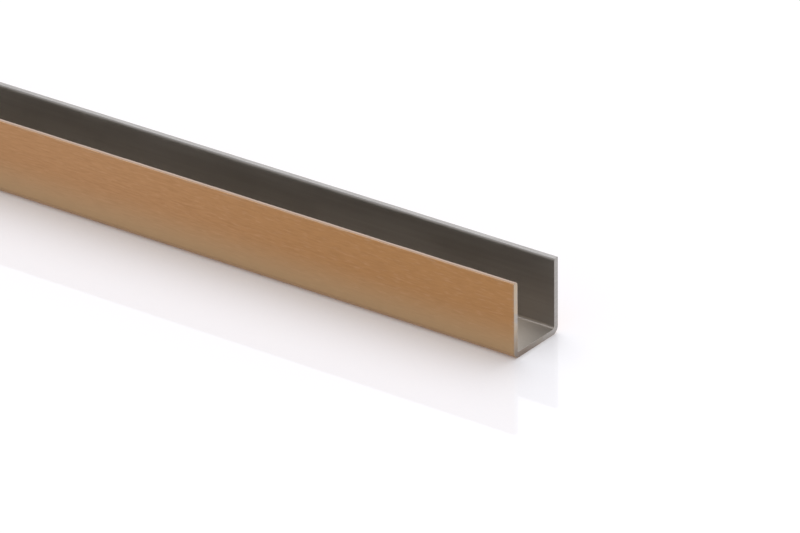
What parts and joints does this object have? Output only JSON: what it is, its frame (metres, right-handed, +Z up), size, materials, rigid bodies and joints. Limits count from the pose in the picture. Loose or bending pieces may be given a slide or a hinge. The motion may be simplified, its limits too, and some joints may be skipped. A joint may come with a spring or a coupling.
{
  "type": "stainless steel u-channel",
  "caption": "Slim U-section channel folded from stainless sheet, with a copper-coloured brushed outside and a bare steel inside; holds the edge of a panel or covers an edge.",
  "frame": {"origin": "underside of the web, at the middle of the length and of the width", "axes": "+X along the length, +Y across from the near flange to the far flange, +Z up out of the open mouth"},
  "size_m": [1, 0.018, 0.02],
  "materials": {
    "brushed_copper_steel": "stainless sheet with a copper-coloured coating brushed along its length on the outside, bare mill finish on the inside and bare cut edges"
  },
  "bodies": {
    "root": {"u_channel": "brushed_copper_steel"}
  },
  "joints": []
}
